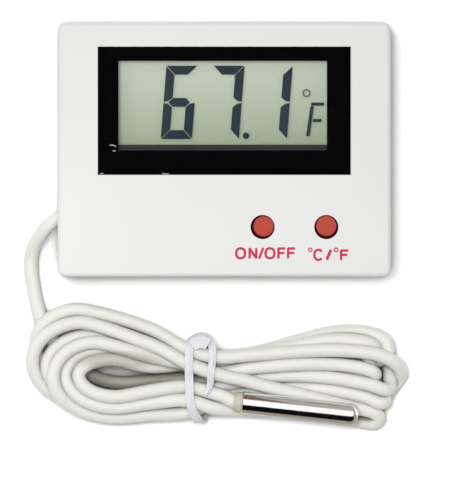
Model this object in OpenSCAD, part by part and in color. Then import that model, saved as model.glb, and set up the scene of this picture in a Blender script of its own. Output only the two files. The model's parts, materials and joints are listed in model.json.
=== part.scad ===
// Darkroom thermometer: a white panel thermometer with a display window, two
// red buttons and a steel probe on a long white cable, wound into a tied hank.
// It lies on its back. The origin is the centre of the case's rear face.
// +Z leaves through the display, +Y points to the top edge of the display.

/* [Case] */
// Width of the case
case_w = 62; // [61:0.2:62.4]
// Height of the case
case_h = 47.4; // [46.4:0.2:52]
// Depth of the case
case_d = 14.5; // [14:0.1:17]
// Thickness of the side walls
wall = 1.8; // [1.4:0.1:1.9]
// Rounding of the outer edges
edge_r = 0.8; // [0.4:0.1:1.2]

/* [Display] */
// Width of the window lens
lens_w = 47; // [45:0.2:48]
// Height of the window lens
lens_h = 23.8; // [22.5:0.1:24]
// Width of the visible display
view_w = 38.8; // [36:0.2:40]
// Height of the visible display
view_h = 15.6; // [14:0.1:16]

/* [Buttons] */
// Diameter of the button holes
hole_d = 4.5; // [4.4:0.1:5]
// Diameter of the red caps
cap_d = 3.86; // [3.6:0.02:3.9]
// How far a button moves when pressed
travel = 0.5; // [0.2:0.1:0.6]

/* [Cable and probe] */
// Diameter of the cable
cable_d = 2.55; // [2.2:0.05:2.55]
// Outside diameter of the steel tube
probe_d = 4.1; // [3.8:0.05:4.1]
// Length of the steel tube
probe_l = 21.9; // [18:0.1:24]

/* [Hidden] */
$fn = 48;
eps = 0.01;
gap = 0.05;
corner_r = 1.5;
split_z = 5.6;
floor_t = 2;
plate_t = 2;
plate_z = case_d - plate_t;
shell_gap = 0.02;
shadow_line = 0.25;
lens_ledge = [3, 2];
through = 10;

// window and display, in the face of the case
lens_c = [0, 7.2];
lens_t = 1.1;
lens_z = case_d - 0.08 - lens_t;
mask_t = 0.15;
mask_z = lens_z - 0.02 - mask_t;
view_c = [-0.3, 8.7];
strip_h = 1.1;
rim_t = 0.4;
holder_top = plate_z - 0.1;
polariser_t = 0.2;
glass_t = 0.7;
glass_w = 43;
glass_h = 20.4;
ledge_h = 1.9;
reflector_inset = 0.2;
polariser_z = holder_top - rim_t - gap - polariser_t;
front_glass_z = polariser_z - gap - glass_t;
rear_glass_z = front_glass_z - gap - glass_t;
reflector_z = rear_glass_z - gap - polariser_t;
holder_w = 45.4;
holder_h = 23.2;

// circuit board
board_z = 7.6;
board_t = 1;
board_top = board_z + board_t;
board_w = 47;
board_y0 = -21;
board_y1 = 20;
under_board = board_z - gap;
chip_p = [-8, 4];
crystal_p = [-17, 4];
resistor_p = [-14, -6];
resistor_pitch = 3.2;
capacitor_p = [2, -8];

// buttons: hole centres and the small offset each cap sits at
button_p = [[7.13, -14.43], [18.98, -14.43]];
cap_shift = [[0.18, 0.12], [0, 0.2]];
flange_r = 2.6;
flange_t = 0.8;
cap_top = case_d + 0.05;
flange_z = plate_z - gap - flange_t;
stem_r = 1.15;
switch_w = 6;
switch_h = 1.6;

// screws
screw_inset = [4, 4.1];
case_screw_p = [for (x = [-1, 1], y = [-1, 1])
  [x * (case_w / 2 - screw_inset[0]), y * (case_h / 2 - screw_inset[1])]];
board_screw_p = [[-20.5, -16.5], [21, -6.5]];
boss_r = 2.6;
post_r = 2;
screw_r = 0.95;
screw_bore_r = 0.98;
screw_head_r = 1.75;
screw_clear_r = 1.05;
counterbore_r = 1.9;
counterbore_h = 1.8;
case_head_h = 1.3;
case_screw_l = 8.5;
board_head_h = 1.1;
board_screw_l = 3.6;

// battery
cell_r = 5.8;
cell_h = 5.4;
cell_p = [14, 12];
cell_z = 1.4;
cell_gap = 0.2;
cell_wall = 1.2;
cell_wall_h = 4.6;
notch = [3.2, 5.6];
contact_w = 4.8;
contact_t = 0.3;
door_w = 15;
door_t = 1.2;
door_y0 = 5.2;
door_y1 = case_h / 2 - 0.6;
tongue_w = 0.8;
tongue_z = 0.75;
door_z = 0.1;
door_gap = 0.1;
seat_l = case_h / 2 + 4 - door_y0;
grip_size = [8, 0.6];
grip_pitch = 1.3;
grip_depth = 0.35;

// cable
cable_r = cable_d / 2;
sides = 8;
exit_p = [-30.7, -12.4, 5.6];
exit_dir = unit([0.84, 0.54, 0]);
swing_p = [-36.05, -20.9, 1.55];
swing_dir = unit([-0.08, -0.98, -0.1]);
lift_p = [-1.35, -45.5, 6.75];
lift_dir = unit([0.93, -0.35, 0.12]);
joint_gap = 0.07;
tie_lift = 0.6;
tie_x = -4.4;
collar_r = 2.3;
cradle_c = [-27.3, -10.4];
cradle_size = [3.4, 7];
cradle_top = 4.8;

// probe: mouth and tip of the tube
mouth_p = [3.3, -47.1, 7.55];
probe_dir = unit([21.8, -2.4, -0.5]);
probe_r = probe_d / 2;
tube_wall = 0.3;
tip_depth = 1.5;
seal_out = 1.6;
seal_in = 2;

// ---- vectors, curves and sweeps ----
function unit(v) = v / norm(v);
function ring_point(t, n, a) = cos(a) * n + sin(a) * cross(t, n);

// curve through all the points that doesn't overshoot between uneven ones
function knot(a, b) = sqrt(max(norm(b - a), 0.001));
function mix(a, b, ta, tb, t) = ((tb - t) * a + (t - ta) * b) / (tb - ta);
function curve_at(a, b, c, d, u) =
  let (t1 = knot(a, b), t2 = t1 + knot(b, c), t3 = t2 + knot(c, d), t = t1 + (t2 - t1) * u)
  let (p = mix(a, b, 0, t1, t), q = mix(b, c, t1, t2, t), r = mix(c, d, t2, t3, t))
  mix(mix(p, q, 0, t2, t), mix(q, r, t1, t3, t), t1, t2, t);
function curve(p, step) =
  let (n = len(p), e = concat([2 * p[0] - p[1]], p, [2 * p[n - 1] - p[n - 2]]))
  concat([
    for (i = [1:n - 1])
      let (m = max(1, ceil(norm(e[i + 1] - e[i]) / step)))
      for (j = [0:m - 1]) curve_at(e[i - 1], e[i], e[i + 1], e[i + 2], j / m)
  ], [p[n - 1]]);
function rest_on_table(p) = [for (q = p) [q[0], q[1], max(q[2], cable_r + 0.02)]];

// tangents, and normals carried along the curve without twisting
function tangents(p) =
  [for (i = [0:len(p) - 1]) unit(p[min(i + 1, len(p) - 1)] - p[max(i - 1, 0)])];
function square_to(n, t) = unit(n - (n * t) * t);
function carried(t, n0) =
  [for (i = 0, n = square_to(n0, t[0]); i < len(t);
    n = square_to(n, t[min(i + 1, len(t) - 1)]), i = i + 1) n];

// triangles round a stack of rings with k points each
function skin(m, k) = [
  for (i = [0:m - 2])
    for (j = [0:k - 1])
      let (a = i * k + j, b = i * k + (j + 1) % k)
      each [[a, a + k, b], [b, a + k, b + k]]
];
module ring_stack(rings) {
  k = len(rings[0]);
  m = len(rings);
  polyhedron(
    points = [for (r = rings) each r],
    faces = concat(
      skin(m, k),
      [[for (j = [0:k - 1]) j]],
      [[for (j = [k - 1:-1:0]) (m - 1) * k + j]]
    ),
    convexity = 10
  );
}

// round cord: rounded ends where cap is true, flat ends elsewhere
cap_angles = [70, 35];
module cord(p, r, k, cap0 = false, cap1 = false) {
  t = tangents(p);
  n = carried(t, [0.1, 0.2, 1]);
  last = len(p) - 1;
  function ring(c, i, q) = [for (j = [0:k - 1]) c + q * ring_point(t[i], n[i], 360 * j / k)];
  ring_stack(concat(
    cap0 ? [for (a = cap_angles) ring(p[0] - r * sin(a) * t[0], 0, r * cos(a))] : [],
    [for (i = [0:last]) ring(p[i], i, r)],
    cap1 ? [for (i = [1:-1:0]) let (a = cap_angles[i])
      ring(p[last] + r * sin(a) * t[last], last, r * cos(a))] : []
  ));
}

// places its children with their +Z along v, from the point p
module along(p, v) {
  translate(p)
    rotate([0, acos(v[2]), atan2(v[1], v[0])])
      children();
}

// ---- the hank: each turn is an upper leg, a left loop, a lower leg and a right bend ----
// stations along the hank, either side of the tie
left_x = [-13.8, -6.9];
right_x = [-1.9, 4.8, 12.4, 19.7, 24.5];
// height and level of every leg at those stations, outermost turn first
upper_legs = [
  [[-36.4, 2.2], [-37.7, 1.3], [-38.8, 1.3], [-38.5, 1.3], [-36.3, 1.3], [-34.3, 1.3], [-34.0, 1.5]],
  [[-38.4, 2.2], [-37.5, 3.8], [-39.4, 3.5], [-38.2, 3.6], [-36.9, 3.6], [-35.6, 3.6], [-35.8, 3.7]],
  [[-36.5, 5.7], [-39.9, 6.3], [-41.7, 6.2], [-43.4, 6.0], [-45.8, 4.2], [-47.3, 3.8], [-48.2, 3.5]],
  [[-33.4, 4.1], [-37.2, 6.3], [-38.7, 6.0], [-38.3, 6.0], [-37.7, 6.0], [-37.4, 6.0], [-37.6, 6.1]],
  [[-38.5, 6.4], [-40.0, 3.8], [-41.8, 3.6], [-40.8, 4.8], [-40.1, 5.6], [-40.0, 4.5], [-40.5, 4.1]],
  [[-40.4, 4.4], [-40.0, 1.3], [-40.7, 1.3], [-40.0, 1.3], [-38.3, 1.3], [-36.7, 1.3], [-36.6, 1.3]]
];
lower_legs = [
  [[-43.2, 1.3], [-43.1, 1.3], [-43.4, 1.3], [-42.6, 1.3], [-40.9, 1.3], [-39.3, 1.3], [-39.3, 1.3]],
  [[-46.7, 3.7], [-46.5, 3.7], [-44.3, 3.7], [-42.9, 3.7], [-42.1, 3.7], [-42.5, 3.8], [-43.2, 3.8]],
  [[-47.2, 6.2], [-46.7, 6.1], [-48.2, 5.4], [-48.6, 2.8], [-48.9, 1.5], [-49.7, 1.3], [-50.4, 1.3]],
  [[-48.3, 1.3], [-47.9, 1.3], [-48.3, 1.3], [-47.2, 1.3], [-46.4, 1.3], [-46.9, 1.3], [-47.5, 1.3]],
  [[-45.6, 1.3], [-45.2, 1.3], [-45.8, 1.3], [-44.8, 1.3], [-43.6, 1.3], [-41.9, 1.3], [-41.8, 1.3]],
  [[-49.5, 3.6], [-49.0, 3.7], [-46.9, 3.7], [-45.5, 3.7], [-44.6, 3.7], [-44.9, 3.9], [-45.7, 3.9]],
  [[-45.0, 7.2], [-44.2, 6.0]]
];
// each left loop: its top, its far left and its bottom
left_loops = [
  [[-25.3, -34.8, 3.5], [-33.3, -40.8, 3.7], [-19.4, -47.3, 3.7]],
  [[-23.1, -37.5, 3.8], [-29.8, -42.3, 4.2], [-20.1, -48.1, 6.2]],
  [[-26.5, -32.2, 4.6], [-35.8, -39.3, 4.3], [-19.8, -48.8, 1.3]],
  [[-27.2, -29.8, 3.8], [-35.2, -36.7, 1.9], [-20.9, -46.1, 1.3]],
  [[-24.0, -35.9, 6.2], [-31.9, -42.5, 6.2], [-19.8, -50.0, 3.6]],
  [[-20.9, -39.1, 5.6], [-27.3, -42.1, 6.6], [-20.1, -46.1, 7.7]]
];
// each right bend, from a lower leg to the next upper leg
right_bends = [
  [[27.8, -39.7, 1.3], [30.1, -38.6, 1.9], [30.4, -36.7, 2.2], [29.0, -35.1, 2.0], [27.0, -34.4, 1.7]],
  [[28.0, -43.9, 3.7], [30.2, -45.0, 3.4], [31.1, -44.2, 2.0], [30.8, -41.6, 1.3], [29.8, -38.8, 1.4],
   [27.9, -36.8, 2.9]],
  [[26.8, -51.0, 1.4], [28.6, -51.0, 2.2], [29.0, -49.6, 3.1], [27.1, -48.7, 3.5]],
  [[26.9, -47.6, 1.3], [28.9, -46.9, 1.3], [30.4, -45.2, 1.3], [31.7, -43.3, 2.0], [32.7, -41.7, 3.6],
   [32.1, -40.1, 5.2], [30.1, -38.8, 6.0], [27.5, -38.0, 6.3]],
  [[26.7, -42.2, 1.4], [28.4, -42.2, 2.2], [27.9, -41.4, 3.8]],
  [[27.1, -46.4, 3.9], [29.3, -47.4, 3.7], [30.4, -46.8, 2.4], [29.0, -44.9, 1.3], [27.9, -41.6, 1.3],
   [26.9, -38.0, 1.3]]
];
// the lead's run under the hank to the first lower leg
lead_in = [
  [-35.9, -24.0, 1.4], [-35.3, -27.7, 1.3], [-34.7, -30.4, 1.3], [-33.7, -32.8, 1.3],
  [-32.3, -35.5, 1.3], [-30.3, -38.2, 1.3], [-27.4, -40.8, 1.3], [-23.5, -42.8, 1.3],
  [-19.0, -43.6, 1.3]
];
// legs are lifted off the table where the tie passes under them
function at_station(x, s) = [x, s[0], s[1] + (abs(x - tie_x) < 3 ? tie_lift : 0)];
function leg(rows) =
  let (xs = concat(left_x, right_x))
  [for (i = [0:len(rows) - 1]) at_station(xs[i], rows[i])];
function reversed(p) = [for (i = [len(p) - 1:-1:0]) p[i]];
loop_steps = 5;
function left_loop(l) =
  let (a = l[0], b = l[1], c = l[2])
  concat(
    [for (i = [0:loop_steps]) let (s = sin(90 * i / loop_steps), q = cos(90 * i / loop_steps))
      [a[0] - (a[0] - b[0]) * s, b[1] + (a[1] - b[1]) * q, a[2] + (b[2] - a[2]) * s * s]],
    [for (i = [1:loop_steps]) let (s = sin(90 * i / loop_steps), q = cos(90 * i / loop_steps))
      [c[0] - (c[0] - b[0]) * q, b[1] + (c[1] - b[1]) * s, b[2] + (c[2] - b[2]) * s * s]]
  );
function hank() = concat(
  [swing_p + (cable_r + joint_gap) * swing_dir],
  lead_in,
  [for (i = [0:5]) each concat(
    leg(lower_legs[i]), right_bends[i], reversed(leg(upper_legs[i])), left_loop(left_loops[i])
  )],
  leg(lower_legs[6]),
  [lift_p - (cable_r + joint_gap) * unit([0.95, -0.2, 0])]
);

// ---- case ----
// block with rounded vertical corners; its top or bottom edge is rounded too
module case_block(z0, z1, round_top) {
  arc = [for (a = [0:15:90]) [corner_r - edge_r + edge_r * cos(a), edge_r * sin(a)]];
  h = z1 - z0;
  side = round_top
    ? concat([[0, 0], [corner_r, 0]], [for (p = arc) [p[0], h - edge_r + p[1]]], [[0, h]])
    : concat([[0, 0]], [for (i = [len(arc) - 1:-1:0]) [arc[i][0], edge_r - arc[i][1]]],
        [[corner_r, h], [0, h]]);
  translate([0, 0, z0])
    hull()
      for (x = [-1, 1], y = [-1, 1])
        translate([x * (case_w / 2 - corner_r), y * (case_h / 2 - corner_r), 0])
          rotate_extrude($fn = 32) polygon(side);
}
module box_at(c, w, h, z0, z1) {
  translate([c[0] - w / 2, c[1] - h / 2, z0]) cube([w, h, z1 - z0]);
}
module cable_hole() {
  along(exit_p - 4 * exit_dir, exit_dir) cylinder(r = cable_r + 0.1, h = 8);
}
module front_case() {
  color([0.93, 0.93, 0.91])
  difference() {
    union() {
      difference() {
        case_block(split_z, case_d, true);
        box_at([0, 0], case_w - 2 * wall, case_h - 2 * wall, split_z - 1, plate_z);
      }
      for (p = case_screw_p)
        translate([p[0], p[1], split_z]) cylinder(r = boss_r, h = plate_z - split_z + eps);
      for (p = board_screw_p)
        translate([p[0], p[1], board_top]) cylinder(r = post_r, h = plate_z - board_top + eps);
    }
    // shadow line round the joint between the two shells
    difference() {
      box_at([0, 0], case_w + 2, case_h + 2, split_z - 1, split_z + shadow_line);
      box_at([0, 0], case_w - 2 * shadow_line, case_h - 2 * shadow_line, split_z - 2, split_z + 1);
    }
    // seat of the lens, and the opening behind it
    box_at(lens_c, lens_w + 2 * gap, lens_h + 2 * gap, mask_z - 0.02, case_d + 1);
    box_at(lens_c, lens_w - lens_ledge[0], lens_h - lens_ledge[1], plate_z - 1, case_d);
    for (p = button_p)
      translate([p[0], p[1], plate_z - 1]) cylinder(d = hole_d, h = plate_t + 2);
    for (p = case_screw_p)
      translate([p[0], p[1], split_z - 1]) cylinder(r = screw_bore_r, h = 6);
    for (p = board_screw_p)
      translate([p[0], p[1], board_top - 1]) cylinder(r = screw_bore_r, h = 4);
    cable_hole();
  }
}
module rear_case() {
  color([0.92, 0.92, 0.9])
  difference() {
    union() {
      difference() {
        case_block(0, split_z - shell_gap, false);
        box_at([0, 0], case_w - 2 * wall, case_h - 2 * wall, floor_t, case_d);
      }
      for (p = case_screw_p)
        translate([p[0], p[1], floor_t - eps])
          cylinder(r = boss_r, h = split_z - shell_gap - floor_t + eps);
      // round wall that holds the cell
      translate([cell_p[0], cell_p[1], floor_t - eps]) cylinder(r = cell_r + cell_wall, h = cell_wall_h);
      // cradle of the cable collar
      box_at(cradle_c, cradle_size[0], cradle_size[1], floor_t - eps, cradle_top);
    }
    translate([cell_p[0], cell_p[1], -1]) cylinder(r = cell_r + cell_gap, h = through);
    // notch of the positive contact
    box_at([cell_p[0] + cell_r + cell_wall, cell_p[1]], notch[0], notch[1], floor_t, through);
    // sliding door: seat, side grooves
    box_at([cell_p[0], door_y0 + seat_l / 2 - door_gap], door_w + 2 * door_gap, seat_l,
      -1, door_z + door_t + gap);
    box_at([cell_p[0], door_y0 + seat_l / 2 - door_gap], door_w + 2 * (tongue_w + door_gap), seat_l,
      tongue_z - gap, door_z + door_t + gap);
    for (p = case_screw_p) {
      translate([p[0], p[1], -1]) cylinder(r = screw_clear_r, h = through);
      translate([p[0], p[1], -1]) cylinder(r = counterbore_r, h = 1 + counterbore_h);
    }
    cable_hole();
    along(exit_p + 2 * exit_dir, exit_dir) cylinder(r = collar_r + 0.06, h = 6);
  }
}
module battery_door() {
  grips = 4;
  color([0.92, 0.92, 0.9])
  difference() {
    union() {
      translate([cell_p[0] - door_w / 2, door_y0, door_z])
        cube([door_w, door_y1 - door_y0, door_t]);
      translate([cell_p[0] - door_w / 2 - tongue_w, door_y0, tongue_z])
        cube([door_w + 2 * tongue_w, door_y1 - door_y0 - 2, door_z + door_t - tongue_z]);
    }
    for (i = [0:grips - 1])
      translate([cell_p[0] - grip_size[0] / 2, door_y1 - 3 - grip_pitch * i, door_z - 1])
        cube([grip_size[0], grip_size[1], 1 + grip_depth]);
  }
}

// ---- display ----
module window_lens() {
  color([0.8, 0.85, 0.9, 0.35])
  box_at(lens_c, lens_w, lens_h, lens_z, lens_z + lens_t);
}
module window_mask() {
  opening_h = view_h + strip_h;
  color([0.02, 0.02, 0.02])
  difference() {
    box_at(lens_c, lens_w, lens_h, mask_z, mask_z + mask_t);
    box_at([view_c[0], view_c[1] - strip_h / 2], view_w, opening_h, mask_z - 1, mask_z + 1);
  }
}
module lcd_polariser() {
  color([0.74, 0.77, 0.68, 0.5])
  box_at(view_c, view_w + 2, view_h + 2, polariser_z, polariser_z + polariser_t);
}
module lcd_front_glass() {
  color([0.75, 0.8, 0.75, 0.35])
  box_at(view_c, glass_w, glass_h, front_glass_z, front_glass_z + glass_t);
}
module lcd_rear_glass() {
  color([0.7, 0.76, 0.7, 0.35])
  box_at([view_c[0], view_c[1] + ledge_h / 2], glass_w, glass_h - ledge_h,
    rear_glass_z, rear_glass_z + glass_t);
}
module lcd_reflector() {
  color([0.77, 0.79, 0.7])
  box_at([view_c[0], view_c[1] + ledge_h / 2], glass_w - reflector_inset,
    glass_h - ledge_h - reflector_inset, reflector_z, reflector_z + polariser_t);
}
module lcd_holder() {
  color([0.23, 0.23, 0.23])
  difference() {
    box_at(view_c, holder_w, holder_h, board_top + gap, holder_top);
    box_at(view_c, glass_w + 0.2, glass_h + 0.2, board_top - 1, holder_top - rim_t);
    box_at(view_c, view_w + 0.6, view_h, board_top, case_d);
  }
}
module zebra_strip() {
  depth = ledge_h - 2 * gap - 0.2;
  color([0.16, 0.16, 0.18])
  box_at([view_c[0], view_c[1] - glass_h / 2 + gap + depth / 2], glass_w - 3, depth,
    board_top + gap, front_glass_z - gap);
}

// ---- circuit board and its parts ----
module circuit_board() {
  color([0.1, 0.35, 0.18])
  difference() {
    box_at([0, (board_y0 + board_y1) / 2], board_w, board_y1 - board_y0, board_z, board_top);
    for (p = board_screw_p)
      translate([p[0], p[1], board_z - 1]) cylinder(r = screw_clear_r, h = 3);
  }
}
module chip_glob() {
  glob_r = 5.2;
  glob_h = 1.3;
  color([0.05, 0.05, 0.05])
  intersection() {
    translate([chip_p[0], chip_p[1], under_board - glob_h + glob_r]) sphere(r = glob_r);
    translate([chip_p[0], chip_p[1], under_board - 3]) cylinder(r = 8, h = 3);
  }
}
module crystal() {
  can_r = 1;
  can_l = 6;
  lead_gap = 0.4;
  z = under_board - can_r;
  color([0.75, 0.75, 0.77]) {
    translate([crystal_p[0], crystal_p[1], z]) rotate([-90, 0, 0]) cylinder(r = can_r, h = can_l);
    for (x = [-lead_gap, lead_gap])
      translate([crystal_p[0] + x, crystal_p[1] - 2, z])
        rotate([-90, 0, 0]) cylinder(r = 0.15, h = 2.2, $fn = 16);
  }
}
module chip_resistors() {
  color([0.12, 0.12, 0.12])
  for (i = [0:3])
    box_at([resistor_p[0] + resistor_pitch * i, resistor_p[1]], 0.9, 1.7, under_board - 0.55, under_board);
}
module capacitor() {
  color([0.75, 0.6, 0.35])
  box_at(capacitor_p, 3.3, 1.8, under_board - 1.3, under_board);
}
module button_switch(p) {
  difference() {
    box_at(p, switch_w, switch_w, board_top + gap, board_top + switch_h);
    translate([p[0], p[1], board_top + 0.3]) cylinder(r = stem_r + gap, h = switch_h);
    for (x = [-1, 1], y = [-1, 1])
      box_at([p[0] + x * switch_w / 2, p[1] + y * switch_w / 2], 1, 1,
        board_top, board_top + switch_h + 1);
  }
}
module on_off_switch() {
  color([0.7, 0.7, 0.72]) button_switch(button_p[0]);
}
module unit_switch() {
  color([0.7, 0.7, 0.72]) button_switch(button_p[1]);
}
module plunger(p) {
  z0 = board_top + 0.35 + travel;
  translate([p[0], p[1], z0]) cylinder(r = stem_r, h = flange_z - gap - z0);
}
module on_off_plunger() {
  color([0.08, 0.08, 0.08]) plunger(button_p[0]);
}
module unit_plunger() {
  color([0.08, 0.08, 0.08]) plunger(button_p[1]);
}
module cap(p, shift) {
  r = cap_d / 2;
  bevel = 0.25;
  translate([p[0] + shift[0], p[1] + shift[1], flange_z])
    rotate_extrude()
      polygon([
        [0, 0], [flange_r, 0], [flange_r, flange_t], [r, flange_t],
        [r, cap_top - flange_z - bevel], [r - bevel * 0.3, cap_top - flange_z - bevel * 0.3],
        [r - bevel, cap_top - flange_z], [0, cap_top - flange_z + 0.06]
      ]);
}
module on_off_cap() {
  color([0.75, 0.22, 0.2]) cap(button_p[0], cap_shift[0]);
}
module unit_cap() {
  color([0.75, 0.22, 0.2]) cap(button_p[1], cap_shift[1]);
}

// ---- battery ----
module button_cell() {
  crimp = 0.7;
  color([0.78, 0.78, 0.8])
  translate([cell_p[0], cell_p[1], cell_z])
    rotate_extrude()
      polygon([
        [0, 0], [cell_r - 0.3, 0], [cell_r, 0.3], [cell_r, cell_h - 0.7], [cell_r - 0.3, cell_h - 0.4],
        [cell_r - crimp, cell_h - 0.4], [cell_r - crimp - 0.1, cell_h], [0, cell_h]
      ]);
}
module contact_positive() {
  x0 = cell_p[0] + cell_r + 0.07;
  color([0.8, 0.75, 0.5]) {
    translate([x0, cell_p[1] - contact_w / 2, floor_t + gap])
      cube([contact_t, contact_w, under_board - floor_t - gap]);
    translate([x0, cell_p[1] - contact_w / 2, under_board - contact_t])
      cube([contact_w / 2, contact_w, contact_t]);
  }
}
module contact_spring() {
  top = under_board;
  clear = 0.04;
  color([0.8, 0.75, 0.5]) {
    box_at([cell_p[0] - 2, cell_p[1]], 7, 3, top - 0.25, top);
    translate([cell_p[0] - 0.5, cell_p[1], cell_z + cell_h + clear])
      cylinder(r = 1, h = top - 0.2 - cell_z - cell_h - clear);
  }
}

// ---- wires and fixings inside ----
wire_r = 0.4;
inner_end = 6.2;
module sensor_wire(side) {
  p0 = exit_p + (inner_end + 0.1) * exit_dir + [-0.54, 0.84, 0] * side * 0.55;
  cord(curve([
    p0, p0 + 1.2 * exit_dir, [-21.5, -7 + 1.6 * side, 5.9], [-20, -6.6 + 1.6 * side, 6.6],
    [-19.4, -6.6 + 1.6 * side, under_board]
  ], 0.8), wire_r, 6);
}
module sensor_wire_a() {
  color([0.75, 0.1, 0.1]) sensor_wire(1);
}
module sensor_wire_b() {
  color([0.95, 0.95, 0.92]) sensor_wire(-1);
}
module screw(p, z_head, head_h, length) {
  translate([p[0], p[1], z_head])
    difference() {
      union() {
        cylinder(r = screw_head_r, h = head_h);
        translate([0, 0, head_h - eps]) cylinder(r = screw_r, h = length + eps);
      }
      for (a = [0, 90])
        rotate([0, 0, a]) translate([-1, -0.2, -1]) cube([2, 0.4, 1.6]);
    }
}
module case_screws() {
  color([0.7, 0.7, 0.72])
  for (p = case_screw_p) screw(p, counterbore_h - case_head_h - gap, case_head_h, case_screw_l);
}
module board_screws() {
  color([0.7, 0.7, 0.72])
  for (p = board_screw_p) screw(p, under_board - board_head_h, board_head_h, board_screw_l);
}
module cable_collar() {
  color([0.15, 0.15, 0.15])
  along(exit_p + 3.5 * exit_dir, exit_dir)
    difference() {
      cylinder(r = collar_r, h = 1.8);
      translate([0, 0, -1]) cylinder(r = cable_r + 0.04, h = 4);
    }
}

// ---- cable ----
module cable_lead() {
  color([0.94, 0.93, 0.9])
  cord(rest_on_table(concat(
    [exit_p + inner_end * exit_dir, exit_p + 3 * exit_dir, exit_p],
    curve([
      exit_p - 0.6 * exit_dir, [-32.7, -13.9, 5.2], [-34.3, -15.7, 4.1], [-35.5, -17.8, 2.7],
      swing_p - (cable_r + joint_gap) * swing_dir
    ], 0.7)
  )), cable_r, 12, false, true);
}
module cable_bundle() {
  color([0.94, 0.93, 0.9])
  cord(rest_on_table(curve(hank(), 2.2)), cable_r, sides, true, true);
}
module cable_tail() {
  color([0.94, 0.93, 0.9])
  cord(concat(
    curve([
      lift_p + (cable_r + joint_gap) * lift_dir,
      lift_p + (cable_r + 0.7) * lift_dir,
      mouth_p - (seal_out + 0.4) * probe_dir
    ], 0.5),
    [mouth_p - seal_out * probe_dir, mouth_p + seal_in * probe_dir]
  ), cable_r, 12, true, false);
}
module twist_tie() {
  // centre line of the ribbon, from its free end to the end tucked under the fold
  path = [
    [-3.5, -45.7, 8.1], [-2.8, -44.4, 8.35], [-2.5, -42.4, 8.6], [-2.3, -40.2, 8.6], [-2.2, -38.0, 8.5],
    [-2.3, -36.4, 8.0], [-2.9, -35.2, 7.0], [-4.5, -34.6, 6.6], [-5.8, -35.2, 7.2], [-6.5, -36.5, 8.3],
    [-6.6, -38.5, 8.75], [-6.6, -41.4, 8.8], [-6.5, -44.0, 8.75], [-6.4, -46.6, 8.7], [-5.9, -48.7, 8.2],
    [-5.0, -50.3, 7.0], [-4.3, -51.3, 5.0], [-4.0, -51.3, 2.4], [-4.0, -50.2, 0.7], [-4.0, -48.4, 0.3],
    [-4.1, -44, 0.3], [-4.2, -39, 0.3], [-4.3, -36.4, 0.6], [-4.4, -35.2, 2.0], [-4.4, -34.9, 4.0],
    [-4.4, -34.9, 5.6]
  ];
  ribbon_w = 1.6;
  ribbon_t = 0.45;
  centre = [tie_x, -43, 4.4];
  p = curve(path, 0.8);
  t = tangents(p);
  section = [
    [-0.5, -0.3], [-0.4, -0.5], [0.4, -0.5], [0.5, -0.3],
    [0.5, 0.3], [0.4, 0.5], [-0.4, 0.5], [-0.5, 0.3]
  ];
  color([0.87, 0.87, 0.91])
  ring_stack([
    for (i = [0:len(p) - 1])
      let (
        o = p[i] - centre,
        n = square_to([0, o[1] / 60, o[2] / 17], t[i]),
        w = cross(t[i], n)
      )
      [for (s = section) p[i] + s[0] * ribbon_w * w + s[1] * ribbon_t * n]
  ]);
}

// ---- probe ----
module probe_tube() {
  dome = [for (a = [0:10:90]) [probe_r * cos(a), probe_l - tip_depth + tip_depth * sin(a)]];
  inner = [for (a = [0:15:90])
    [(probe_r - tube_wall) * cos(a), probe_l - tip_depth - tube_wall + tip_depth * sin(a)]];
  color([0.8, 0.8, 0.82])
  along(mouth_p, probe_dir)
    rotate_extrude()
      polygon(concat([[probe_r - tube_wall, 0.15], [probe_r - 0.15, 0], [probe_r, 0.15]], dome,
        reversed(inner)));
}
module probe_seal() {
  r_in = probe_r - tube_wall - 0.03;
  color([0.84, 0.81, 0.7])
  along(mouth_p - seal_out * probe_dir, probe_dir)
    rotate_extrude()
      polygon([
        [cable_r + 0.04, 0], [cable_r + 0.3, 0], [probe_r - 0.35, 0.25], [probe_r - 0.2, 0.6],
        [probe_r - 0.2, seal_out - gap], [r_in, seal_out - gap], [r_in, seal_out + seal_in],
        [cable_r + 0.04, seal_out + seal_in]
      ]);
}
module thermistor_bead() {
  color([0.2, 0.2, 0.22])
  translate(mouth_p + (probe_l - 4.2) * probe_dir) sphere(r = 1.2);
}
module thermistor_leads() {
  start = seal_in + 0.1;
  color([0.8, 0.8, 0.82])
  for (y = [-0.5, 0.5])
    along(mouth_p + start * probe_dir, probe_dir)
      translate([0, y, 0]) cylinder(r = 0.15, h = probe_l - 4.2 - 1.2 - start, $fn = 16);
}

front_case();
rear_case();
battery_door();
window_lens();
window_mask();
lcd_polariser();
lcd_front_glass();
lcd_rear_glass();
lcd_reflector();
lcd_holder();
zebra_strip();
circuit_board();
chip_glob();
crystal();
chip_resistors();
capacitor();
on_off_cap();
unit_cap();
on_off_plunger();
unit_plunger();
on_off_switch();
unit_switch();
button_cell();
contact_positive();
contact_spring();
sensor_wire_a();
sensor_wire_b();
case_screws();
board_screws();
cable_collar();
cable_lead();
cable_bundle();
cable_tail();
probe_tube();
probe_seal();
thermistor_bead();
thermistor_leads();
twist_tie();
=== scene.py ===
import json
import math

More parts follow.
